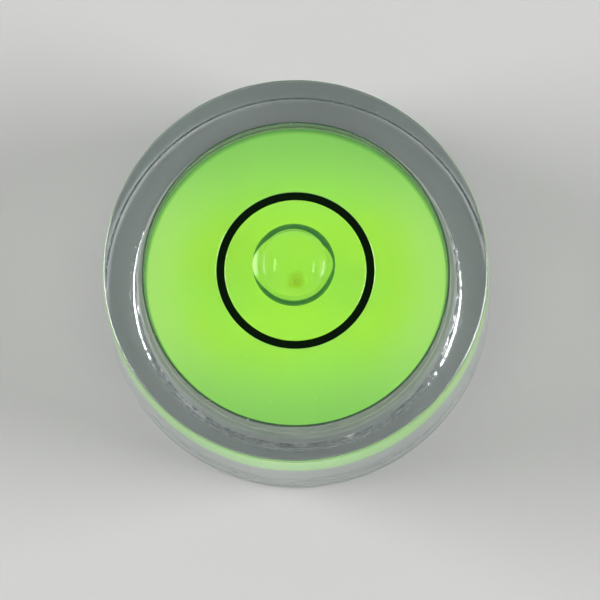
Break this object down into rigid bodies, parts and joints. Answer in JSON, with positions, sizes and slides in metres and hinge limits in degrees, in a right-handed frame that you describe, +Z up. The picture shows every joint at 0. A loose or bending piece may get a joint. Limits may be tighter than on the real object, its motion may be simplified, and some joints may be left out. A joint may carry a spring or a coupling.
{
  "type": "bullseye level",
  "caption": "Round bullseye level: a clear acrylic vial closed by a white base, holding green liquid with a bubble that is read against a black centring ring.",
  "frame": {"origin": "middle of the foot, in the plane that the vial stands on", "axes": "+Z up the vial's axis, from the foot to the top face that is read; the vial is round, so +X and +Y only place the bubble"},
  "size_m": [0.018, 0.018, 0.009],
  "materials": {
    "clear_acrylic": "polished",
    "ring_paint": "satin",
    "green_liquid": "polished",
    "white_base": "satin",
    "cement": "gloss",
    "plug_plastic": "satin",
    "sealant": "gloss"
  },
  "bodies": {
    "root": {"vial_body": "clear_acrylic", "target_ring": "ring_paint", "level_liquid": "green_liquid", "base_cap": "white_base", "cement_ring": "cement", "filler_plug": "plug_plastic", "filler_seal": "sealant"}
  },
  "joints": []
}
